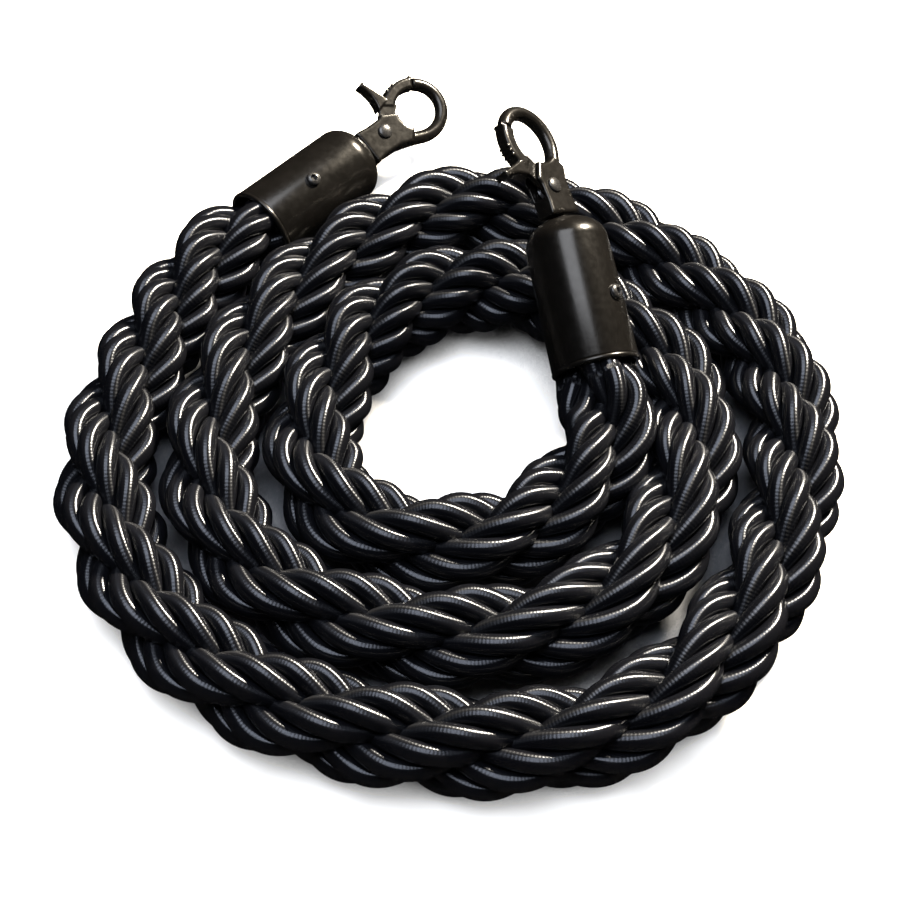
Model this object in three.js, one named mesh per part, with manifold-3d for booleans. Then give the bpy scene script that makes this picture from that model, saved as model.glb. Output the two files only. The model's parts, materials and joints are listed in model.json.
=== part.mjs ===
// A barrier rope: a thick three-strand twisted rope lying in a loose flat coil, with a domed metal
// end cap on each end and a swivelling trigger snap hook on each cap. Millimetres, +Z up, and the
// floor that the coil lies on is z = 0. The origin is under the middle of the box round the two ends,
// which leaves out the rope itself.
import * as THREE from 'three';
import { mergeVertices } from 'three/addons/utils/BufferGeometryUtils.js';
import Module from 'manifold-3d';

const wasm = await Module();
wasm.setup();

// ---- driving dimensions ----
const gap = 0.3; // left between pieces that touch
const ropeOd = 30;
const ropeSides = 12;
const ropeSteps = 76;

const capRimOd = 29.2; // the end cap narrows a little from its mouth to its shoulder
const capShoulderOd = 27.8;
const capStraight = 43;
const capDome = 9.5;
const capWall = 1.2;

const tailLength = 30; // how far the squeezed rope end reaches into the cap
const screwFromRim = 22;
const screwShankOd = 3;
const screwReach = 8; // into the rope end
const screwHeadOd = 5.2;
const screwHeadHeight = 1.7;
const screwRecessOd = 2.2;
const screwRecessDepth = 1;

const stemOd = 5; // the swivel stem under the hook, through the top of the dome
const stemPlay = 0.6; // all round, so that the hook can lean in the dome's hole
const washerOd = 10;
const washerThick = 1;
const washerDrop = 3; // from the top of the dome down to the washer
const nutAcross = 8;
const nutThick = 3.5;
const stemProud = 0.8; // past the nut

const neckBase = 0.6; // the hook's foot above the top of the dome
const neckFootWidth = 13.6;
const neckWaistWidth = 12.6;
const neckThick = 7.6;
const neckBevel = 0.8;
const neckFootEdge = 1.2;
const gateSide = [[0, 5.5], [0, 11.5], [0.8, 13.8]]; // [past the waist, out from the dome] up the side
const closedSide = [[1.9, 17.6], [0.3, 12.5], [0, 5.5]]; // and down the other one
const pivotAt = new THREE.Vector2(1, 10.7); // rivet: towards the gate, and out from the dome

const eyeAt = new THREE.Vector2(1, 28.1); // middle of the eye, measured in the same way
const eyeWide = 15.9; // clear opening across and along the hook
const eyeLong = 17.4;
const barWide = 4.7; // the bar around the eye, and its thickness
const barEnd = 5.2;
const barThick = 5.2;
const noseAngle = 57; // degrees round the eye from its far end to the nose
const armAngle = -118; // and to where the bar leaves the neck
const armRoot = [[2, 11], [0.3, 17]]; // [inside the waist, out from the dome]
const gateRootOuter = 122;
const gateRootInner = 142;
const gateShoulder = 9.9; // from the rivet along the tongue
const gateBevel = 1.1;

const rivetOd = 3;
const rivetHeadOd = 5.4;
const rivetHeadHeight = 0.9;
const tongueThick = 2.1;
const tongueWidth = 6;
const tongueAngle = 38; // degrees from the hook's length towards the gate side
const tongueLength = 12;
const springWire = 0.7;
const springTurns = 2;
const springPlay = 0.55; // round the rivet
const springPitch = springWire + 0.05;
const springLeg = 7;
const leverWidth = 5.6;
const leverBevel = 0.7;
const leverOutline = { // [towards the gate, out from the dome], two curves with a point to bend them
  inner: [[8.6, 15], [14.5, 17.4], [20.4, 14.8]],
  outer: [[21, 17.1], [16.6, 18.7], [12.2, 20.6]],
  root: [9.6, 20.6],
};

const stemHoleOd = stemOd + 2 * stemPlay;
const springOd = rivetOd + 2 * (springWire + springPlay);
const springStack = springTurns * springPitch + springWire;
const slotWidth = tongueThick + springStack + 3 * gap; // the gate's tongue swings in this slot
const capTop = capStraight + capDome;
const capTaper = (capRimOd - capShoulderOd) / 2 / capStraight;
const ringWide = eyeWide + 2 * barWide;
const ringLong = eyeLong + 2 * barEnd;

// Where the two caps lie. The mouth of each cap is at `mouth`, `out` points from the mouth to the
// dome, and the turns about it are in degrees from level right towards the top.
const ends = [
  { id: 'a', mouth: [-68, 98, 15.6], out: [0.685, 0.728, 0], screwTurn: 66, hookTurn: 150,
    lean: 0, leanTurn: 0 },
  { id: 'b', mouth: [48, 21, 32], out: [-0.2145, 0.881, 0.426], screwTurn: 47, hookTurn: 147,
    lean: 8.4, leanTurn: 193 },
];

// The rope's middle line round the coil, from just outside cap a to just outside cap b.
const ropeRoute = [
  [-94, 62, 15], [-103, 37, 15], [-110, 12, 15], [-112, -12, 15],
  [-106, -36, 15], [-94, -59, 15], [-77, -78, 15], [-55, -93, 15], [-31, -102, 15], [-6, -107, 15],
  [18, -108, 15], [42, -104, 15], [64, -93, 15], [83, -75, 15], [97, -54, 15], [106, -31, 15],
  [112, -7, 15], [112, 17, 15], [106, 40, 15], [92, 61, 15], [73, 80, 15], [52, 95, 15],
  [29, 104, 15], [5, 106, 15], [-17, 98, 15], [-35, 85, 15], [-52, 68, 15], [-66, 46, 15],
  [-75, 22, 15], [-79, -3, 15], [-74, -28, 15], [-62, -47, 15], [-45, -60, 15], [-25, -68, 15],
  [-2, -72, 15], [21, -70, 15], [43, -62, 15], [61, -46, 15], [73, -25, 15], [79, -2, 15],
  [77, 23, 15], [65, 43, 15], [49, 58, 15], [30, 68, 15], [8, 70, 15], [-13, 62, 15],
  [-29, 48, 15], [-39, 29, 15], [-45, 8, 15], [-43, -12, 15], [-33, -27, 15], [-17, -36, 15],
  [2, -38, 15], [20, -34, 15], [36, -23, 16], [48, -8, 19],
];
const ropeLead = 18; // straight rope outside each cap's mouth

const up = new THREE.Vector3(0, 0, 1);
const rad = THREE.MathUtils.degToRad;

// ---- finishes ----
function finish(color, roughness, metalness) {
  return new THREE.MeshStandardMaterial({ color, roughness, metalness });
}

const blackCord = finish(0x1b1c20, 0.45, 0);
const blackLacquer = finish(0x24211e, 0.35, 0.6);
const innerCord = finish(0x2a2a2c, 0.8, 0);
const darkScrew = finish(0x2b2825, 0.4, 0.8);
const plainSteel = finish(0x8b8d8f, 0.35, 0.9);

// ---- solids ----
function solid(geometry) {
  const bare = geometry.clone();
  bare.deleteAttribute('normal');
  bare.deleteAttribute('uv');
  const merged = mergeVertices(bare, 1e-4);
  const mesh = new wasm.Mesh({
    numProp: 3,
    vertProperties: new Float32Array(merged.attributes.position.array),
    triVerts: new Uint32Array(merged.index.array),
  });
  mesh.merge();
  return new wasm.Manifold(mesh);
}

function geometryOf(body) {
  const mesh = body.getMesh();
  const geometry = new THREE.BufferGeometry();
  geometry.setAttribute('position', new THREE.BufferAttribute(new Float32Array(mesh.vertProperties), 3));
  geometry.setIndex(new THREE.BufferAttribute(new Uint32Array(mesh.triVerts), 1));
  return geometry;
}

function minus(geometry, ...cuts) {
  let body = solid(geometry);
  for (const cut of cuts) {
    body = body.subtract(solid(cut));
  }
  return geometryOf(body);
}

function plus(geometry, ...more) {
  let body = solid(geometry);
  for (const extra of more) {
    body = body.add(solid(extra));
  }
  return geometryOf(body);
}

// A profile of [radius, height] points turned about +Z.
function turned(profile, sides) {
  const points = profile.map(([r, z]) => new THREE.Vector2(r, z));
  return new THREE.LatheGeometry(points, sides).rotateX(Math.PI / 2);
}

// A round rod about +Z from one height to another.
function rod(diameter, from, to, sides = 24) {
  return new THREE.CylinderGeometry(diameter / 2, diameter / 2, to - from, sides)
    .rotateX(Math.PI / 2)
    .translate(0, 0, (from + to) / 2);
}

// A flat outline in the hook's plane, x towards the gate and y along the hook, given a thickness
// that is centred on that plane.
function plate(shape, thick, bevel = 0, curveSegments = 12) {
  const geometry = new THREE.ExtrudeGeometry(shape, {
    depth: thick - 2 * bevel,
    bevelEnabled: bevel > 0,
    bevelThickness: bevel,
    bevelSize: bevel,
    bevelOffset: -bevel,
    bevelSegments: 2,
    curveSegments,
  });
  return geometry.translate(0, 0, bevel - thick / 2).rotateX(Math.PI / 2);
}

// A rod across the hook's plane, at a point of that plane.
function crossRod(diameter, length, at, sides = 24) {
  return new THREE.CylinderGeometry(diameter / 2, diameter / 2, length, sides).translate(at.x, 0, at.y);
}

// ---- rope ----
function roundSection(diameter, sides) {
  const radius = diameter / 2 / Math.cos(Math.PI / sides);
  const corners = [];
  for (let i = 0; i < sides; i += 1) {
    const angle = ((i + 0.5) / sides) * 2 * Math.PI;
    corners.push(new THREE.Vector2(radius * Math.cos(angle), radius * Math.sin(angle)));
  }
  return new THREE.Shape(corners);
}

function sweep(section, points, steps) {
  const path = new THREE.CatmullRomCurve3(points.map((p) => new THREE.Vector3(...p)));
  return new THREE.ExtrudeGeometry(section, { steps, extrudePath: path, bevelEnabled: false });
}

// A point on the line of an end cap, outside its mouth.
function outside(end, distance) {
  const out = new THREE.Vector3(...end.out).normalize();
  return new THREE.Vector3(...end.mouth).addScaledVector(out, -distance).toArray();
}

// The rope stops short of both caps, square to them.
function ropeGeometry() {
  const [first, last] = ends;
  const route = [
    outside(first, gap), outside(first, ropeLead), ...ropeRoute,
    outside(last, ropeLead), outside(last, gap),
  ];
  return sweep(roundSection(ropeOd, ropeSides), route, ropeSteps);
}

// ---- end cap and what is inside it ----
// The dome is a quarter of an ellipse, from the shoulder in to a radius.
function domeArc(radius, height, inTo, count) {
  const last = Math.acos(inTo / radius);
  const points = [];
  for (let i = 0; i <= count; i += 1) {
    const angle = (last * i) / count;
    points.push([radius * Math.cos(angle), capStraight + height * Math.sin(angle)]);
  }
  return points;
}

// The two screw holes, opposite each other, each from a radius outwards.
function screwHoles(from) {
  const hole = rod(screwShankOd + 2 * gap, from, capRimOd, 16).rotateY(Math.PI / 2);
  hole.translate(0, 0, screwFromRim);
  return [hole, hole.clone().rotateZ(Math.PI)];
}

function capGeometry() {
  const outer = [[capRimOd / 2, 0], ...domeArc(capShoulderOd / 2, capDome, stemHoleOd / 2, 8)];
  const inner = domeArc(capShoulderOd / 2 - capWall, capDome - capWall, stemHoleOd / 2, 8).reverse();
  const mouth = [[capRimOd / 2 - capWall, 0], [capRimOd / 2, 0]];
  return minus(turned([...outer, ...inner, ...mouth], 40), ...screwHoles(0));
}

function tailGeometry() {
  const mouthRadius = capRimOd / 2 - capWall - gap;
  const innerRadius = mouthRadius - capTaper * tailLength;
  const profile = [[0, 0], [mouthRadius, 0], [innerRadius, tailLength], [0, tailLength]];
  return minus(turned(profile, 32), ...screwHoles(screwSeat() - screwReach - gap));
}

// The radius that the underside of a screw's head sits at.
function screwSeat() {
  return capRimOd / 2 - capTaper * screwFromRim + gap;
}

function screwGeometry() {
  const shank = screwShankOd / 2;
  const head = screwHeadOd / 2;
  const recess = screwRecessOd / 2;
  const profile = [
    [0, -screwReach], [shank * 0.5, -screwReach], [shank, -screwReach + 1], [shank, 0], [head, 0],
    [head, screwHeadHeight * 0.4], [head * 0.8, screwHeadHeight * 0.85], [recess, screwHeadHeight],
    [recess, screwHeadHeight - screwRecessDepth], [0, screwHeadHeight - screwRecessDepth],
  ];
  return turned(profile, 20);
}

// ---- hook ----
function ellipsePoint(wide, long, angle) {
  const x = eyeAt.x + (wide / 2) * Math.sin(rad(angle));
  return new THREE.Vector2(x, eyeAt.y + (long / 2) * Math.cos(rad(angle)));
}

// Points round the eye from one angle to another, 0 at its far end and positive towards the gate.
function eyeArc(wide, long, from, to, count) {
  const points = [];
  for (let i = 0; i <= count; i += 1) {
    points.push(ellipsePoint(wide, long, from + ((to - from) * i) / count));
  }
  return points;
}

// The fixed arm is a round bar that leaves the neck on the closed side and bends round the eye to
// the nose.
function armGeometry() {
  const wide = eyeWide + barWide;
  const long = eyeLong + barEnd;
  const waist = neckWaistWidth / 2;
  const root = armRoot.map(([inside, height]) => new THREE.Vector2(inside - waist, height));
  const bend = eyeArc(wide, long, armAngle, noseAngle, 16);
  const points = [...root, ...bend].map((p) => [p.x, 0, p.y]);
  return sweep(roundSection((barWide + barThick) / 2, 12), points, 30);
}

// The neck is a block with two cheeks. Its top follows the eye, and the cheeks end in a slant
// before the gate.
function neckShape() {
  const foot = neckFootWidth / 2;
  const waist = neckWaistWidth / 2;
  return new THREE.Shape([
    new THREE.Vector2(-foot, neckBase),
    new THREE.Vector2(foot, neckBase),
    new THREE.Vector2(foot, neckBase + neckFootEdge),
    ...gateSide.map(([past, height]) => new THREE.Vector2(waist + past, height)),
    ...eyeArc(eyeWide, eyeLong, -202, -135, 6),
    ...closedSide.map(([past, height]) => new THREE.Vector2(-waist - past, height)),
    new THREE.Vector2(-foot, neckBase + neckFootEdge),
  ]);
}

// A point given along and across the tongue, from the rivet.
function onTongue(across, along) {
  const turn = rad(tongueAngle);
  return new THREE.Vector2(
    pivotAt.x + across * Math.cos(turn) + along * Math.sin(turn),
    pivotAt.y - across * Math.sin(turn) + along * Math.cos(turn),
  );
}

function slotCuts() {
  const room = gap + 0.1;
  const reach = neckFootWidth;
  const back = -tongueWidth / 2 - room;
  const low = pivotAt.y + back;
  const mouth = new THREE.Shape([
    new THREE.Vector2(pivotAt.x, low),
    new THREE.Vector2(pivotAt.x + reach, low),
    new THREE.Vector2(pivotAt.x + reach, eyeAt.y),
    onTongue(back, reach),
    onTongue(back, 0),
  ]);
  return [plate(mouth, slotWidth), crossRod(tongueWidth + 2 * room, slotWidth, pivotAt, 32)];
}

function hookGeometry() {
  const stemEnd = -(washerDrop + washerThick + gap + nutThick + stemProud);
  const stem = rod(stemOd, stemEnd, neckBase + 2);
  const whole = plus(plate(neckShape(), neckThick, neckBevel), armGeometry(), stem);
  const rivetHole = crossRod(rivetOd + 2 * gap, neckThick + 2, pivotAt);
  return minus(whole, ...slotCuts(), rivetHole);
}

// The gate closes the eye from the nose back to its shoulder; a thinner tongue carries it on the
// rivet, and a curved thumb lever stands out from its root.
function gateGeometry() {
  const tip = noseAngle + THREE.MathUtils.radToDeg((2 * gap) / (eyeWide + barWide));
  const outer = eyeArc(ringWide, ringLong, tip, gateRootOuter, 9);
  const inner = eyeArc(eyeWide, eyeLong, gateRootInner, tip, 9);
  const shoulder = onTongue(tongueWidth / 2, gateShoulder);
  const body = plate(new THREE.Shape([...outer, shoulder, ...inner]), barThick, gateBevel, 4);
  const bore = crossRod(rivetOd + 2 * gap, 2 * slotWidth, pivotAt);
  return minus(plus(body, tongueGeometry(), leverGeometry()), bore);
}

function tongueGeometry() {
  const half = tongueWidth / 2;
  const blade = plate(new THREE.Shape([
    onTongue(-half, 0), onTongue(half, 0), onTongue(half, tongueLength), onTongue(-half, tongueLength + 1),
  ]), tongueThick);
  const knuckle = crossRod(tongueWidth, tongueThick, pivotAt, 32);
  const offCentre = slotWidth / 2 - gap - tongueThick / 2;
  return plus(blade, knuckle).translate(0, offCentre, 0);
}

function leverGeometry() {
  const { inner, outer, root } = leverOutline;
  const outline = new THREE.Shape();
  outline.moveTo(...inner[0]);
  outline.quadraticCurveTo(...inner[1], ...inner[2]);
  outline.lineTo(...outer[0]);
  outline.quadraticCurveTo(...outer[1], ...outer[2]);
  outline.lineTo(...root);
  return plate(outline, leverWidth, leverBevel, 6);
}

function rivetGeometry() {
  const half = neckThick / 2 + gap / 2;
  const head = rivetHeadOd / 2;
  const pin = rivetOd / 2;
  const top = half + rivetHeadHeight;
  const profile = [
    [0, -top], [head * 0.6, -top], [head, -half - rivetHeadHeight * 0.4], [head, -half], [pin, -half],
    [pin, half], [head, half], [head, half + rivetHeadHeight * 0.4], [head * 0.6, top], [0, top],
  ];
  return turned(profile, 24).rotateX(Math.PI / 2).translate(pivotAt.x, 0, pivotAt.y);
}

// A torsion spring round the rivet, beside the tongue, with one leg down the slot and one out
// along the tongue.
function springGeometry() {
  const radius = (springOd - springWire) / 2;
  const first = -(slotWidth / 2 - gap - springWire / 2);
  const perTurn = 12;
  const points = [];
  const legEnd = onTongue(-springOd / 4, springLeg);
  points.push([legEnd.x, first, legEnd.y]);
  for (let i = 0; i <= springTurns * perTurn; i += 1) {
    const angle = (i / perTurn) * 2 * Math.PI - rad(50);
    const y = first + (springPitch * i) / perTurn;
    points.push([pivotAt.x + radius * Math.sin(angle), y, pivotAt.y + radius * Math.cos(angle)]);
  }
  return sweep(roundSection(springWire, 6), points, springTurns * perTurn + 6);
}

function washerGeometry() {
  const bore = stemOd / 2 + gap;
  const from = -washerDrop - washerThick;
  const profile = [[bore, from], [washerOd / 2, from], [washerOd / 2, -washerDrop], [bore, -washerDrop],
    [bore, from]];
  return turned(profile, 32);
}

function nutGeometry() {
  const corner = nutAcross / 2 / Math.cos(Math.PI / 6);
  const top = -(washerDrop + washerThick + gap);
  const hex = new THREE.CylinderGeometry(corner, corner, nutThick, 6).rotateX(Math.PI / 2);
  hex.translate(0, 0, top - nutThick / 2);
  return minus(hex, rod(stemOd + 2 * gap, top - nutThick - 1, top + 1));
}

// ---- assembly ----
// Turns and places a group so that its +Z is `axis` and its +X is `turn` degrees round from level
// right towards the top.
function frameOf(axis, turn) {
  const side = new THREE.Vector3().crossVectors(axis, up).normalize();
  const top = new THREE.Vector3().crossVectors(side, axis);
  const x = side.multiplyScalar(Math.cos(rad(turn))).addScaledVector(top, Math.sin(rad(turn)));
  return new THREE.Matrix4().makeBasis(x, new THREE.Vector3().crossVectors(axis, x), axis);
}

function placedGroup(at, axis, turn) {
  const group = new THREE.Group();
  group.position.copy(at);
  group.quaternion.setFromRotationMatrix(frameOf(axis, turn));
  return group;
}

function named(name, geometry, material) {
  const mesh = new THREE.Mesh(geometry, material);
  mesh.name = name;
  return mesh;
}

function screwOn(id, turn) {
  const screw = named(id, screwGeometry(), darkScrew);
  screw.rotation.set(0, Math.PI / 2, 0);
  screw.position.set(screwSeat(), 0, screwFromRim);
  const holder = new THREE.Group();
  holder.rotation.z = rad(turn);
  holder.add(screw);
  return holder;
}

function capGroup(end, axis) {
  const group = placedGroup(new THREE.Vector3(...end.mouth), axis, end.screwTurn);
  group.add(named(`end_cap_${end.id}`, capGeometry(), blackLacquer));
  group.add(named(`rope_tail_${end.id}`, tailGeometry(), innerCord));
  group.add(screwOn(`cap_screw_${end.id}1`, 0));
  group.add(screwOn(`cap_screw_${end.id}2`, 180));
  return group;
}

function leaned(end, axis) {
  const tilt = new THREE.Vector3().setFromMatrixColumn(frameOf(axis, end.leanTurn), 0);
  return axis.clone().multiplyScalar(Math.cos(rad(end.lean))).addScaledVector(tilt, Math.sin(rad(end.lean)));
}

function hookGroup(end, axis) {
  const top = new THREE.Vector3(...end.mouth).addScaledVector(axis, capTop);
  const group = placedGroup(top, leaned(end, axis), end.hookTurn);
  group.add(named(`hook_body_${end.id}`, hookGeometry(), blackLacquer));
  group.add(named(`gate_${end.id}`, gateGeometry(), blackLacquer));
  group.add(named(`gate_rivet_${end.id}`, rivetGeometry(), darkScrew));
  group.add(named(`gate_spring_${end.id}`, springGeometry(), plainSteel));
  group.add(named(`swivel_washer_${end.id}`, washerGeometry(), plainSteel));
  group.add(named(`swivel_nut_${end.id}`, nutGeometry(), plainSteel));
  return group;
}

const barrierRope = new THREE.Group();
for (const end of ends) {
  const axis = new THREE.Vector3(...end.out).normalize();
  barrierRope.add(capGroup(end, axis));
  barrierRope.add(hookGroup(end, axis));
}
const middle = new THREE.Box3().setFromObject(barrierRope, true).getCenter(new THREE.Vector3());
barrierRope.add(named('rope', ropeGeometry(), blackCord));
for (const piece of barrierRope.children) {
  piece.position.x -= middle.x;
  piece.position.y -= middle.y;
}

export default barrierRope;
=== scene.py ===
import bpy
import bmesh
import json
import math
from mathutils import Matrix, Vector


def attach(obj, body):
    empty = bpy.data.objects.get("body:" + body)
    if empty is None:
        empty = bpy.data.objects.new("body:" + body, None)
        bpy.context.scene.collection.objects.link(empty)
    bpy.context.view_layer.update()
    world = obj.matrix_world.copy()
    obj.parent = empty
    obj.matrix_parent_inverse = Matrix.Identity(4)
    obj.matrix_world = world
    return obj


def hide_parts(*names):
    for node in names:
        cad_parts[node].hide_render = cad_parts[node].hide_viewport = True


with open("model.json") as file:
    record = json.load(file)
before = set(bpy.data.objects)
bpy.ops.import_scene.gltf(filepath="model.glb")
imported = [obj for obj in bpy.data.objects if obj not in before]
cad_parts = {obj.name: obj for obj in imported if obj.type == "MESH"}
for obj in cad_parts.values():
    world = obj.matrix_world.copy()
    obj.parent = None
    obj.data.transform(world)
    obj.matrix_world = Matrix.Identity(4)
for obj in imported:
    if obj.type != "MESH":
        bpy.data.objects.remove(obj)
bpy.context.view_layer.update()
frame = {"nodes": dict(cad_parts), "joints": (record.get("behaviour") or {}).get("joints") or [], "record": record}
scene = bpy.context.scene
print("frame loaded")

camera = {
    "target": (0.0082, -0.0921, 0.016),
    "distance": 0.64,
    "elevation": 54,
    "lens": 78,
}


def placeCamera(values):
    data = bpy.data.cameras.new("camera")
    data.lens = values["lens"]
    data.sensor_width = 36
    data.clip_start = 0.01
    data.clip_end = 20
    obj = bpy.data.objects.new("camera", data)
    scene.collection.objects.link(obj)
    rise = math.radians(values["elevation"])
    back = Vector((0, -math.cos(rise), math.sin(rise)))
    obj.location = Vector(values["target"]) + back * values["distance"]
    obj.rotation_mode = "QUATERNION"
    obj.rotation_quaternion = (-back).to_track_quat("-Z", "Y")
    scene.camera = obj


placeCamera(camera)
print("camera placed")

# The middle line from the mouth of cap a, round the coil, to the mouth of cap b, in metres.
ropeLine = {
    "shift": (0.008195, -0.09206, 0),
    "capA": {"mouth": (-0.068, 0.098, 0.0156), "out": (0.685, 0.728, 0), "rise": 0.0015},
    "capB": {"mouth": (0.048, 0.021, 0.032), "out": (-0.2145, 0.881, 0.426), "rise": 0},
    "lead": 0.018,
    "into": 0.012,  # how far the strands run on inside each cap
    "lift": 0.0021,  # the strands stand a little proud of the plain tube
    "pieces": 24,  # straight pieces between two points
    "points": [
        (-0.094, 0.062, 0.015), (-0.103, 0.037, 0.015), (-0.110, 0.012, 0.015), (-0.112, -0.012, 0.015),
        (-0.106, -0.036, 0.015), (-0.094, -0.059, 0.015), (-0.077, -0.078, 0.015), (-0.055, -0.093, 0.015),
        (-0.031, -0.102, 0.015), (-0.006, -0.107, 0.015), (0.018, -0.108, 0.015), (0.042, -0.104, 0.015),
        (0.064, -0.093, 0.015), (0.083, -0.075, 0.015), (0.097, -0.054, 0.015), (0.106, -0.031, 0.015),
        (0.112, -0.007, 0.015), (0.112, 0.017, 0.015), (0.106, 0.040, 0.015), (0.092, 0.061, 0.015),
        (0.073, 0.080, 0.015), (0.052, 0.095, 0.015), (0.029, 0.104, 0.015), (0.005, 0.106, 0.015),
        (-0.017, 0.098, 0.015), (-0.035, 0.085, 0.015), (-0.052, 0.068, 0.015), (-0.066, 0.046, 0.015),
        (-0.075, 0.022, 0.015), (-0.079, -0.003, 0.015), (-0.074, -0.028, 0.015), (-0.062, -0.047, 0.015),
        (-0.045, -0.060, 0.015), (-0.025, -0.068, 0.015), (-0.002, -0.072, 0.015), (0.021, -0.070, 0.015),
        (0.043, -0.062, 0.015), (0.061, -0.046, 0.015), (0.073, -0.025, 0.015), (0.079, -0.002, 0.015),
        (0.077, 0.023, 0.015), (0.065, 0.043, 0.015), (0.049, 0.058, 0.015), (0.030, 0.068, 0.015),
        (0.008, 0.070, 0.015), (-0.013, 0.062, 0.015), (-0.029, 0.048, 0.015), (-0.039, 0.029, 0.015),
        (-0.045, 0.008, 0.015), (-0.043, -0.012, 0.015), (-0.033, -0.027, 0.015), (-0.017, -0.036, 0.015),
        (0.002, -0.038, 0.015), (0.020, -0.034, 0.015), (0.036, -0.023, 0.016), (0.048, -0.008, 0.019),
    ],
}

rope = {
    "diameter": 0.033,
    "strands": 3,
    "cords": 5,
    "strandRadius": 0.0077,  # from the rope's middle to the middle of a strand
    "cordRing": 0.0057,  # from a strand's middle to the middle of a cord
    "cordRadius": 0.0034,  # where a cord comes to the outside of the rope
    "cordInside": 0.0029,  # and where it is pressed into the middle
    "cordTurns": 2.65,  # turns of the cords in a strand for one turn of the strands
    "cordStart": 0.0,
    "step": 0.0016,
    "fade": 0.7,  # how quickly a cord fills out between the two
    "round": 4,  # the bevel resolution of a cord
    "squeeze": 0.80,  # how far the cords close up at a cap's mouth, and over what length
    "squeezeOver": 0.012,
    "turnsEvery": 0.1,
    # degrees that the strands have turned at each of those places
    "turns": [-51, 331, 695, 1046, 1375, 1751, 2150, 2530, 2888, 3236, 3556, 3928, 4345, 4709, 5037],
}


def capOut(cap):
    return Vector(cap["out"]).normalized()


def onCapLine(cap, distance):
    return Vector(cap["mouth"]) - capOut(cap) * distance


def routePoints(line):
    a, b = line["capA"], line["capB"]
    leads = [onCapLine(cap, line["lead"]) + Vector((0, 0, cap["rise"])) for cap in (a, b)]
    points = [onCapLine(a, -line["into"]), onCapLine(a, 0), leads[0]]
    points += [Vector(p) + Vector((0, 0, line["lift"])) for p in line["points"]]
    points += [leads[1], onCapLine(b, 0), onCapLine(b, -line["into"])]
    return [p + Vector(line["shift"]) for p in points]


# A point between b and c of four points in a row, on one smooth curve.
def between(a, b, c, d, t):
    bend = (2 * a - 5 * b + 4 * c - d) * t * t + (3 * b - a - 3 * c + d) * t ** 3
    return 0.5 * (2 * b + (c - a) * t + bend)


def smoothLine(points, pieces):
    found = []
    for i in range(len(points) - 1):
        a = points[max(i - 1, 0)]
        d = points[min(i + 2, len(points) - 1)]
        for j in range(pieces):
            found.append(between(a, points[i], points[i + 1], d, j / pieces))
    return found + [points[-1]]


# The same line with its points an even step apart, and each one's distance along it.
def evenLine(points, step):
    length = sum((b - a).length for a, b in zip(points, points[1:]))
    count = round(length / step)
    spacing = length / count
    found, walked, wanted = [points[0]], 0.0, spacing
    for a, b in zip(points, points[1:]):
        size = (b - a).length
        while walked + size >= wanted and len(found) < count:
            found.append(a.lerp(b, (wanted - walked) / size))
            wanted += spacing
        walked += size
    return found + [points[-1]], spacing


def turnAt(values, s):
    table = values["turns"]
    place = s / values["turnsEvery"]
    i = min(int(place), len(table) - 2)
    before, after = table[max(i - 1, 0)], table[min(i + 2, len(table) - 1)]
    return between(before, table[i], table[i + 1], after, place - i)


def easeIn(t):
    t = min(max(t, 0), 1)
    return t * t * (3 - 2 * t)


line, spacing = evenLine(smoothLine(routePoints(ropeLine), ropeLine["pieces"]), rope["step"])
up = Vector((0, 0, 1))


def ropeStations(line, spacing, values):
    stations = []
    total = spacing * (len(line) - 1)
    for i, point in enumerate(line):
        s = i * spacing
        along = (line[min(i + 1, len(line) - 1)] - line[max(i - 1, 0)]).normalized()
        side = along.cross(up).normalized()
        top = side.cross(along)
        fromEnd = min(s, total - s) - ropeLine["into"]
        slim = values["squeeze"] + (1 - values["squeeze"]) * easeIn(fromEnd / values["squeezeOver"])
        turn = math.radians(turnAt(values, s))
        stations.append((point, side, top, turn, slim))
    return stations


# The middle of one cord all along the rope, and how thick it is there.
def cordPoints(stations, values, strand, cord):
    found = []
    for point, side, top, turn, slim in stations:
        angle = turn + 2 * math.pi * strand / values["strands"]
        outward = side * math.cos(angle) + top * math.sin(angle)
        around = top * math.cos(angle) - side * math.sin(angle)
        own = values["cordStart"] + 2 * math.pi * cord / values["cords"] - turn * values["cordTurns"]
        away = outward * (values["strandRadius"] + values["cordRing"] * math.cos(own))
        away += around * values["cordRing"] * math.sin(own)
        share = (1 + math.cos(own)) / 2
        thick = values["cordInside"] + (values["cordRadius"] - values["cordInside"]) * share ** values["fade"]
        found.append((point + away * slim, thick))
    return found


# A UV map with U along the cords, in metres, and V round them.
def unroll(mesh, rings, values):
    sides = len(mesh.vertices) // (rings * values["cords"])
    layer = mesh.uv_layers.new(name="along")
    for face in mesh.polygons:
        places = [(i // sides % rings * values["step"], i % sides / sides) for i in face.vertices]
        wraps = max(v for u, v in places) - min(v for u, v in places) > 0.5
        for loop, (u, v) in zip(face.loop_indices, places):
            layer.data[loop].uv = (u, v + 1 if wraps and v < 0.5 else v)


def strandMesh(name, stations, values, strand):
    curve = bpy.data.curves.new(name, "CURVE")
    curve.dimensions = "3D"
    curve.bevel_depth = 1
    curve.bevel_resolution = values["round"]
    curve.use_fill_caps = True
    for cord in range(values["cords"]):
        points = cordPoints(stations, values, strand, cord)
        spline = curve.splines.new("POLY")
        spline.points.add(len(points) - 1)
        for target, (place, thick) in zip(spline.points, points):
            target.co = (*place, 1)
            target.radius = thick
    holder = bpy.data.objects.new(name + "_line", curve)
    scene.collection.objects.link(holder)
    bpy.context.view_layer.update()
    evaluated = holder.evaluated_get(bpy.context.evaluated_depsgraph_get())
    mesh = bpy.data.meshes.new_from_object(evaluated)
    mesh.name = name
    bpy.data.objects.remove(holder)
    unroll(mesh, len(stations), values)
    obj = bpy.data.objects.new(name, mesh)
    scene.collection.objects.link(obj)
    return obj


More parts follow.
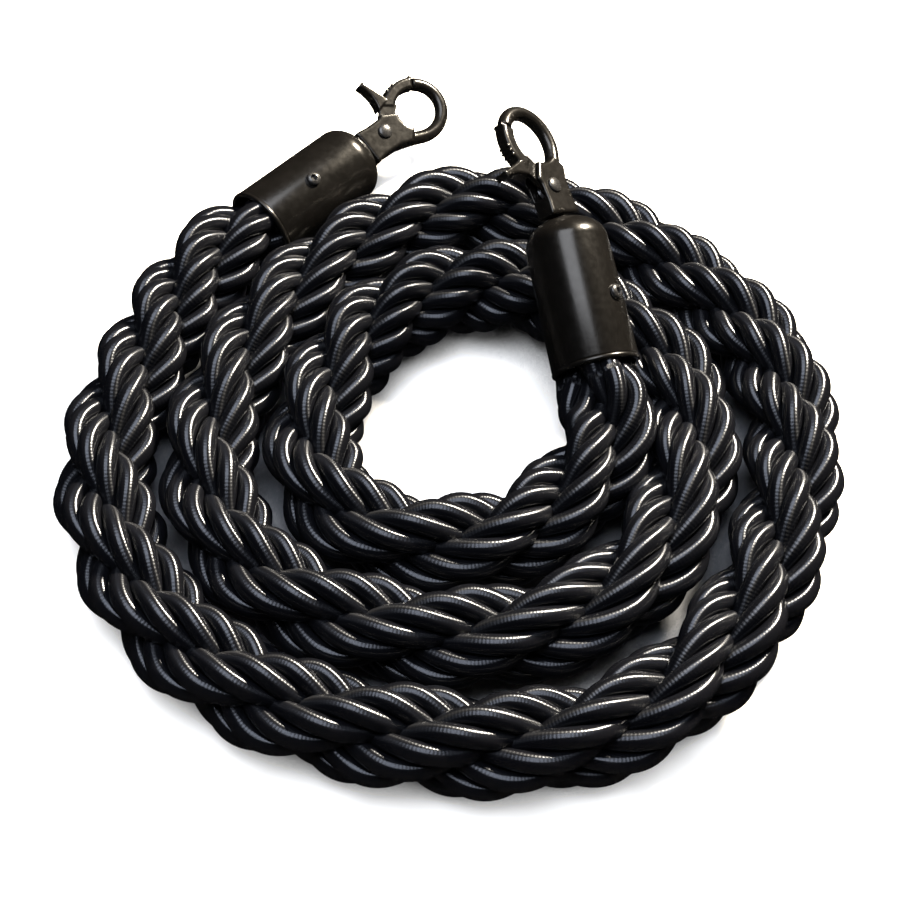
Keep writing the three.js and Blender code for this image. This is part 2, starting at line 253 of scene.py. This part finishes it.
strands = []
stations = ropeStations(line, spacing, rope)
for k in range(rope["strands"]):
    strands.append(strandMesh("rope_strand_" + "abc"[k], stations, rope, k))
print("strands made")


def newMaterial(name):
    material = bpy.data.materials.new(name)
    material.use_nodes = True
    material.node_tree.nodes.clear()
    return material


def addNode(material, kind, **settings):
    node = material.node_tree.nodes.new(kind)
    for key, value in settings.items():
        setattr(node, key, value)
    return node


def join(material, a, aName, b, bName):
    material.node_tree.links.new(a.outputs[aName], b.inputs[bName])


satin = {
    "color": (0.0025, 0.0025, 0.003, 1),
    "roughness": 0.27,
    "anisotropic": 0.9,
    "gloss": 0.27,
    "rib": 0.0009,  # from one wrapped thread to the next
    "ribScale": 0.314,  # one wave in each rib
    "ribWander": 0.6,
    "ribHeight": 0.00004,
}


def satinCord(values):
    m = newMaterial("satin_cord")
    out = addNode(m, "ShaderNodeOutputMaterial")
    shader = addNode(m, "ShaderNodeBsdfPrincipled")
    shader.inputs["Base Color"].default_value = values["color"]
    shader.inputs["Roughness"].default_value = values["roughness"]
    shader.inputs["Anisotropic"].default_value = values["anisotropic"]
    shader.inputs["Specular IOR Level"].default_value = values["gloss"]
    run = addNode(m, "ShaderNodeTangent", direction_type="UV_MAP", uv_map="along")
    join(m, run, "Tangent", shader, "Tangent")
    place = addNode(m, "ShaderNodeUVMap", uv_map="along")
    scale = addNode(m, "ShaderNodeMapping")
    scale.inputs["Scale"].default_value = (1 / values["rib"], 1, 1)
    join(m, place, "UV", scale, "Vector")
    ribs = addNode(m, "ShaderNodeTexWave", wave_type="BANDS", bands_direction="X")
    ribs.inputs["Scale"].default_value = values["ribScale"]
    ribs.inputs["Distortion"].default_value = values["ribWander"]
    join(m, scale, "Vector", ribs, "Vector")
    bump = addNode(m, "ShaderNodeBump")
    bump.inputs["Distance"].default_value = values["ribHeight"]
    join(m, ribs, "Fac", bump, "Height")
    join(m, bump, "Normal", shader, "Normal")
    join(m, shader, "BSDF", out, "Surface")
    return m


def noiseOf(material, place, size, detail):
    noise = addNode(material, "ShaderNodeTexNoise")
    noise.inputs["Scale"].default_value = 1 / size
    noise.inputs["Detail"].default_value = detail
    join(material, place, "Object", noise, "Vector")
    return noise


def ranged(material, source, output, span, low, high):
    ramp = addNode(material, "ShaderNodeMapRange")
    ramp.inputs["From Min"].default_value, ramp.inputs["From Max"].default_value = span
    ramp.inputs["To Min"].default_value = low
    ramp.inputs["To Max"].default_value = high
    join(material, source, output, ramp, "Value")
    return ramp


noiseSpan = (0.3, 0.7)


def spread(material, noise, low, high):
    return ranged(material, noise, "Fac", noiseSpan, low, high)


# Sockets 6 and 7 are the mix node's two colours, and output 2 is its mixed colour.
def mixColors(material, ramp, low, high):
    mix = addNode(material, "ShaderNodeMix", data_type="RGBA")
    mix.inputs[6].default_value = low
    mix.inputs[7].default_value = high
    material.node_tree.links.new(ramp.outputs["Result"], mix.inputs[0])
    return mix


def joinColor(material, mix, socket):
    material.node_tree.links.new(mix.outputs[2], socket)


lacquer = {
    "color": (0.0022, 0.0019, 0.0015, 1),
    "cloud": (0.0034, 0.0029, 0.0024, 1),
    "cloudSize": 0.006,
    "worn": (0.022, 0.020, 0.017, 1),  # where the lacquer thins on an edge
    "edge": (0.53, 0.62),
    "roughness": (0.20, 0.27),
    "gloss": 0.25,
    "tint": (1, 0.92, 0.79, 1),
    "peel": 0.0009,  # the size of the ripples in the lacquer
    "peelHeight": 0.000012,
}


def blackLacquer(name, values):
    m = newMaterial(name)
    out = addNode(m, "ShaderNodeOutputMaterial")
    shader = addNode(m, "ShaderNodeBsdfPrincipled")
    place = addNode(m, "ShaderNodeTexCoord")
    cloud = noiseOf(m, place, values["cloudSize"], 4)
    color = mixColors(m, spread(m, cloud, 0, 1), values["color"], values["cloud"])
    edge = ranged(m, addNode(m, "ShaderNodeNewGeometry"), "Pointiness", values["edge"], 0, 1)
    worn = mixColors(m, edge, values["color"], values["worn"])
    joinColor(m, color, worn.inputs[6])
    joinColor(m, worn, shader.inputs["Base Color"])
    fine = noiseOf(m, place, values["cloudSize"] / 3, 6)
    join(m, spread(m, fine, *values["roughness"]), "Result", shader, "Roughness")
    shader.inputs["Specular IOR Level"].default_value = values["gloss"]
    shader.inputs["Specular Tint"].default_value = values["tint"]
    bump = addNode(m, "ShaderNodeBump")
    bump.inputs["Distance"].default_value = values["peelHeight"]
    join(m, noiseOf(m, place, values["peel"], 2), "Fac", bump, "Height")
    join(m, bump, "Normal", shader, "Normal")
    join(m, shader, "BSDF", out, "Surface")
    return m


screwSteel = {
    "color": (0.007, 0.0065, 0.006, 1),
    "cloud": (0.014, 0.013, 0.012, 1),
    "cloudSize": 0.0014,
    "worn": (0.06, 0.055, 0.05, 1),
    "edge": (0.53, 0.62),
    "roughness": (0.22, 0.32),
    "gloss": 0.34,
    "tint": (1, 0.95, 0.86, 1),
    "peel": 0.0004,
    "peelHeight": 0.000008,
}

springSteel = {
    "color": (0.30, 0.29, 0.28, 1),
    "dull": (0.16, 0.15, 0.15, 1),
    "grain": 0.0008,
    "roughness": (0.25, 0.45),
}


def plainSteel(values):
    m = newMaterial("plain_steel")
    out = addNode(m, "ShaderNodeOutputMaterial")
    shader = addNode(m, "ShaderNodeBsdfPrincipled")
    shader.inputs["Metallic"].default_value = 1
    place = addNode(m, "ShaderNodeTexCoord")
    grain = noiseOf(m, place, values["grain"], 5)
    color = mixColors(m, spread(m, grain, 0, 1), values["dull"], values["color"])
    joinColor(m, color, shader.inputs["Base Color"])
    join(m, spread(m, grain, *values["roughness"]), "Result", shader, "Roughness")
    join(m, shader, "BSDF", out, "Surface")
    return m


cordFinish = satinCord(satin)
finishes = {
    "black_lacquer": blackLacquer("black_lacquer", lacquer),
    "dark_screw": blackLacquer("dark_screw", screwSteel),
    "plain_steel": plainSteel(springSteel),
}

for obj in strands:
    obj.data.materials.clear()
    obj.data.materials.append(cordFinish)
    for face in obj.data.polygons:
        face.use_smooth = True
    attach(obj, "rope_and_caps")
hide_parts("rope", "rope_tail_a", "rope_tail_b")
print("rope made")

joints = {joint["name"]: joint for joint in frame["joints"]}
bodyOf = {node: body for body, nodes in frame["record"]["behaviour"]["bodies"].items() for node in nodes}


# A hook's own frame: X towards its gate, Y along its rivet and Z out along the hook, from the dome's top.
def hookFrame(end):
    swivel, pivot = joints["hook_" + end + "_swivel"], joints["gate_" + end + "_pivot"]
    out, across = Vector(swivel["axis"]), Vector(pivot["axis"])
    place = Matrix((across.cross(out), across, out)).transposed().to_4x4()
    place.translation = Vector(swivel["pos_m"])
    return place


# A frame with Z along the axis, and X turned about it from level right towards the top.
def axisFrame(at, axis, turn=0):
    right = axis.cross(up).normalized()
    start = right * math.cos(math.radians(turn)) + right.cross(axis) * math.sin(math.radians(turn))
    place = Matrix((start, axis.cross(start), axis)).transposed().to_4x4()
    place.translation = at
    return place


sharpAngle = math.radians(35)


def finished(name, bm, node, slotName):
    mesh = bpy.data.meshes.new(name)
    bmesh.ops.remove_doubles(bm, verts=bm.verts, dist=0.000002)
    bmesh.ops.recalc_face_normals(bm, faces=bm.faces)
    bm.to_mesh(mesh)
    bm.free()
    obj = bpy.data.objects.new(name, mesh)
    scene.collection.objects.link(obj)
    mesh.polygons.foreach_set("use_smooth", [True] * len(mesh.polygons))
    mesh.set_sharp_from_angle(angle=sharpAngle)
    mesh.materials.append(finishes[slotName])
    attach(obj, bodyOf[node])
    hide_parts(node)
    return obj


# A turned piece: the profile holds [radius, height] and goes once round the Z axis.
def turned(profile, steps, place):
    bm = bmesh.new()
    verts = [bm.verts.new((r, 0, z)) for r, z in profile]
    edges = [bm.edges.new(pair) for pair in zip(verts, verts[1:])]
    if profile[0][0] > 0:
        edges.append(bm.edges.new((verts[-1], verts[0])))
    bmesh.ops.spin(
        bm, geom=verts + edges, cent=(0, 0, 0), axis=(0, 0, 1), angle=2 * math.pi, steps=steps, use_merge=True,
    )
    bmesh.ops.transform(bm, matrix=place, verts=bm.verts)
    return bm


def arc(middle, wide, high, start, end, count):
    points = []
    for i in range(count + 1):
        angle = math.radians(start + (end - start) * i / count)
        points.append((middle[0] + wide * math.cos(angle), middle[1] + high * math.sin(angle)))
    return points


cap = {
    "rim": 0.0146,
    "shoulder": 0.0139,
    "straight": 0.043,
    "dome": 0.0095,
    "wall": 0.0012,
    "hole": 0.0031,  # round the hook's stem
    "lip": 0.0016,  # a rolled lip at the mouth, and how far it stands out
    "lipOut": 0.00022,
    "lipBack": 0.0003,
    "groove": 0.0001,
    "steps": 128,
}


def capProfile(values):
    wall, hole, straight = values["wall"], values["hole"], values["straight"]
    dome = arc((0, straight), values["shoulder"], values["dome"], 0, 90, 40)
    inside = arc((0, straight), values["shoulder"] - wall, values["dome"] - wall, 0, 90, 30)
    outer = [p for p in dome if p[0] > hole] + [(hole, dome[-1][1])]
    inner = [p for p in inside if p[0] > hole] + [(hole, inside[-1][1])]
    rim, high, back = values["rim"], values["lip"], values["lipBack"]
    lip = arc((rim - back, high / 2), back + values["lipOut"], high / 2, -90, 90, 10)
    groove = [(rim - values["groove"], high + values["groove"]), (rim, high + 5 * values["groove"])]
    return [(rim - wall, 0)] + lip + groove + outer + inner[::-1]


screw = {
    "fromRim": 0.022,
    "proud": 0.00002,
    "turns": {"a": 66, "b": 47},
    "shank": 0.0015,
    "reach": 0.008,
    "point": 0.001,
    "head": 0.0026,
    "height": 0.0017,
    "edge": 0.0005,
    "hex": 0.0024,  # across the flats of the recess
    "hexDeep": 0.0011,
    "steps": 48,
}


def screwProfile(values):
    head, edge, shank, reach = values["head"], values["edge"], values["shank"], values["reach"]
    crown = arc((0, edge), head, values["height"] - edge, 0, 90, 14)
    point = [(0, -reach), (shank / 2, -reach), (shank, values["point"] - reach)]
    return point + [(shank, 0), (head, 0)] + crown


# The hexagon recess in a screw's head, cut with a six-sided bar.
def cutHex(obj, values, place):
    bm = bmesh.new()
    across = values["hex"] / math.sqrt(3)
    middle = place @ Matrix.Translation((0, 0, values["height"]))
    bmesh.ops.create_cone(
        bm, cap_ends=True, segments=6, radius1=across, radius2=across,
        depth=2 * values["hexDeep"], matrix=middle,
    )
    mesh = bpy.data.meshes.new("hex_bar")
    bm.to_mesh(mesh)
    bm.free()
    bar = bpy.data.objects.new("hex_bar", mesh)
    scene.collection.objects.link(bar)
    cut = obj.modifiers.new("recess", "BOOLEAN")
    cut.object = bar
    cut.operation = "DIFFERENCE"
    cut.solver = "EXACT"
    applied(obj)
    bpy.data.objects.remove(bar)


# The object keeps its mesh as its modifiers leave it.
def applied(obj):
    bpy.context.view_layer.update()
    mesh = bpy.data.meshes.new_from_object(obj.evaluated_get(bpy.context.evaluated_depsgraph_get()))
    obj.modifiers.clear()
    old = obj.data
    obj.data = mesh
    mesh.name = old.name
    bpy.data.meshes.remove(old)


for end, capName in (("a", "capA"), ("b", "capB")):
    values = ropeLine[capName]
    mouth = onCapLine(values, 0) + Vector(ropeLine["shift"])
    axis = capOut(values)
    shell = turned(capProfile(cap), cap["steps"], axisFrame(mouth, axis))
    finished("cap_shell_" + end, shell, "end_cap_" + end, "black_lacquer")
    for number, half in (("1", 0), ("2", 180)):
        place = axisFrame(mouth + axis * screw["fromRim"], axis, screw["turns"][end] + half)
        seat = cap["rim"] - (cap["rim"] - cap["shoulder"]) * screw["fromRim"] / cap["straight"] + screw["proud"]
        place = place @ Matrix.Translation((seat, 0, 0)) @ Matrix.Rotation(math.radians(90), 4, "Y")
        bm = turned(screwProfile(screw), screw["steps"], place)
        piece = finished("round_screw_" + end + number, bm, "cap_screw_" + end + number, "dark_screw")
        cutHex(piece, screw, place)
        piece.data.set_sharp_from_angle(angle=sharpAngle)
print("caps and screws made")

rivet = {"pin": 0.0015, "head": 0.0027, "height": 0.0010, "edge": 0.00015, "under": 0.00395, "steps": 48}


def rivetProfile(values):
    under, head, high, edge = values["under"], values["head"], values["height"], values["edge"]
    top = arc((0, under + edge), head, high - edge, 0, 90, 12)
    side = [(values["pin"], under), (head, under)] + top
    return [(r, -z) for r, z in side[::-1]] + side


# A cast piece: the CAD shape with small parts added, remeshed so that they flow together, then smoothed.
def castPiece(name, node, extras, values):
    bm = bmesh.new()
    bm.from_mesh(frame["nodes"][node].data)
    bmesh.ops.remove_doubles(bm, verts=bm.verts, dist=0.000005)
    for place in extras:
        bmesh.ops.create_cube(bm, size=1, matrix=place)
    mesh = bpy.data.meshes.new(name)
    bm.to_mesh(mesh)
    bm.free()
    obj = bpy.data.objects.new(name, mesh)
    scene.collection.objects.link(obj)
    melt = obj.modifiers.new("melt", "REMESH")
    melt.mode = "VOXEL"
    melt.voxel_size = values["voxel"]
    soften = obj.modifiers.new("soften", "SMOOTH")
    soften.factor = 0.5
    soften.iterations = values["soften"]
    applied(obj)
    obj.data.polygons.foreach_set("use_smooth", [True] * len(obj.data.polygons))
    obj.data.materials.clear()
    obj.data.materials.append(finishes[values["slot"]])
    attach(obj, bodyOf[node])
    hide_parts(node)
    return obj


hook = {"voxel": 0.00022, "soften": 36, "slot": "black_lacquer"}

gate = {
    "voxel": 0.00020,
    "soften": 5,
    "slot": "black_lacquer",
    "eye": (0.0010, 0.0281),  # the middle of the eye in the hook's frame
    "ring": (0.01265, 0.0139),
    "ridges": [96, 103, 110],  # degrees round the eye from its far end
    "ridgeSize": (0.0008, 0.0046, 0.0008),
    "tipAt": 61.5,  # a raised lip at the gate's tip
    "tipSize": (0.0010, 0.0042, 0.0012),
}

spring = {"voxel": 0.00009, "soften": 4, "slot": "plain_steel"}


def ridgePlaces(values, place):
    found = []
    bars = [(angle, values["ridgeSize"]) for angle in values["ridges"]]
    bars.append((values["tipAt"], values["tipSize"]))
    for angle, size in bars:
        turn = math.radians(angle)
        x = values["eye"][0] + values["ring"][0] * math.sin(turn)
        z = values["eye"][1] + values["ring"][1] * math.cos(turn)
        spot = Matrix.Translation((x, 0, z)) @ Matrix.Rotation(turn - math.pi / 2, 4, "Y")
        found.append(place @ spot @ Matrix.Diagonal((*size, 1)))
    return found


for end in "ab":
    place = hookFrame(end)
    castPiece("cast_hook_" + end, "hook_body_" + end, [], hook)
    castPiece("cast_gate_" + end, "gate_" + end, ridgePlaces(gate, place), gate)
    castPiece("coil_spring_" + end, "gate_spring_" + end, [], spring)
    pivot = joints["gate_" + end + "_pivot"]
    bm = turned(rivetProfile(rivet), rivet["steps"], axisFrame(Vector(pivot["pos_m"]), Vector(pivot["axis"])))
    finished("domed_rivet_" + end, bm, "gate_rivet_" + end, "dark_screw")
    for node in ("swivel_washer_" + end, "swivel_nut_" + end):
        frame["nodes"][node].data.materials.clear()
        frame["nodes"][node].data.materials.append(finishes["plain_steel"])
print("hooks and gates made")

stage = {
    "floor": (0.93, 0.87, 0.76, 1),
    "shade": (0.10, 0.10, 0.10, 1),  # painted shade: the floor's colour in the gaps between the turns
    "glow": 0.75,  # a lit sweep, so that shadows stay light
    "close": 0.045,  # how near a thing paints shade on the floor and dims its glow
    "openness": (0.2, 0.5),  # from painted shade to full glow
    "drop": 0.0002,
    "world": (0.007, 0.007, 0.008, 1),
    "size": 4,
    "backdrop": 5,
    "backdropColor": (0.95, 0.95, 0.94, 1),
}


def makeFloor(values):
    bm = bmesh.new()
    bmesh.ops.create_grid(bm, x_segments=1, y_segments=1, size=values["size"])
    mesh = bpy.data.meshes.new("floor")
    bm.to_mesh(mesh)
    bm.free()
    floor = bpy.data.objects.new("floor", mesh)
    scene.collection.objects.link(floor)
    floor.location.z = -values["drop"]
    m = newMaterial("pale_floor")
    out = addNode(m, "ShaderNodeOutputMaterial")
    shader = addNode(m, "ShaderNodeBsdfDiffuse")
    glow = addNode(m, "ShaderNodeEmission")
    # Ambient occlusion darkens the floor's colour and dims its glow near things. This is painted shade, darkest in
    # the gaps between the turns.
    near = addNode(m, "ShaderNodeAmbientOcclusion")
    near.inputs["Distance"].default_value = values["close"]
    clear = ranged(m, near, "AO", values["openness"], 0, values["glow"])
    join(m, clear, "Result", glow, "Strength")
    paintedShadeTone = mixColors(m, clear, values["shade"], values["floor"])
    joinColor(m, paintedShadeTone, shader.inputs["Color"])
    both = addNode(m, "ShaderNodeAddShader")
    m.node_tree.links.new(shader.outputs["BSDF"], both.inputs[0])
    m.node_tree.links.new(glow.outputs["Emission"], both.inputs[1])
    join(m, both, "Shader", out, "Surface")
    mesh.materials.append(m)
    floor.visible_glossy = False


makeFloor(stage)


# A pale dome round the stage, which lights nothing.
def makeBackdrop(values):
    bm = bmesh.new()
    bmesh.ops.create_uvsphere(bm, u_segments=64, v_segments=32, radius=values["backdrop"])
    bmesh.ops.reverse_faces(bm, faces=bm.faces)
    mesh = bpy.data.meshes.new("backdrop")
    bm.to_mesh(mesh)
    bm.free()
    backdrop = bpy.data.objects.new("backdrop", mesh)
    scene.collection.objects.link(backdrop)
    m = newMaterial("pale_backdrop")
    out = addNode(m, "ShaderNodeOutputMaterial")
    glow = addNode(m, "ShaderNodeEmission")
    glow.inputs["Color"].default_value = values["backdropColor"]
    join(m, glow, "Emission", out, "Surface")
    mesh.materials.append(m)
    backdrop.visible_diffuse = False
    backdrop.visible_glossy = False
    backdrop.visible_shadow = False


makeBackdrop(stage)

lights = {
    "key": {
        "at": (0.53, 0.59, 0.61),
        "distance": 1.6,
        "size": (0.28, 0.28),
        "power": 230,
        "color": (1, 0.93, 0.82),
    },
    "top": {
        "at": (-0.1, 0, 0.99),
        "distance": 1.2,
        "size": (0.95, 0.7),
        "power": 26,
        "color": (0.74, 0.82, 1),
    },
}


def addLight(name, values):
    data = bpy.data.lights.new(name, "AREA")
    data.shape = "RECTANGLE"
    data.size, data.size_y = values["size"]
    data.energy = values["power"]
    data.color = values["color"]
    obj = bpy.data.objects.new(name, data)
    scene.collection.objects.link(obj)
    direction = Vector(values["at"]).normalized()
    obj.location = Vector(camera["target"]) + direction * values["distance"]
    obj.rotation_mode = "QUATERNION"
    obj.rotation_quaternion = (-direction).to_track_quat("-Z", "Y")


for lightName, lightValues in lights.items():
    addLight(lightName, lightValues)

world = bpy.data.worlds.new("studio")
world.use_nodes = True
world.node_tree.nodes["Background"].inputs["Color"].default_value = stage["world"]
scene.world = world
scene.view_settings.view_transform = "Standard"
print("stage and lights made")
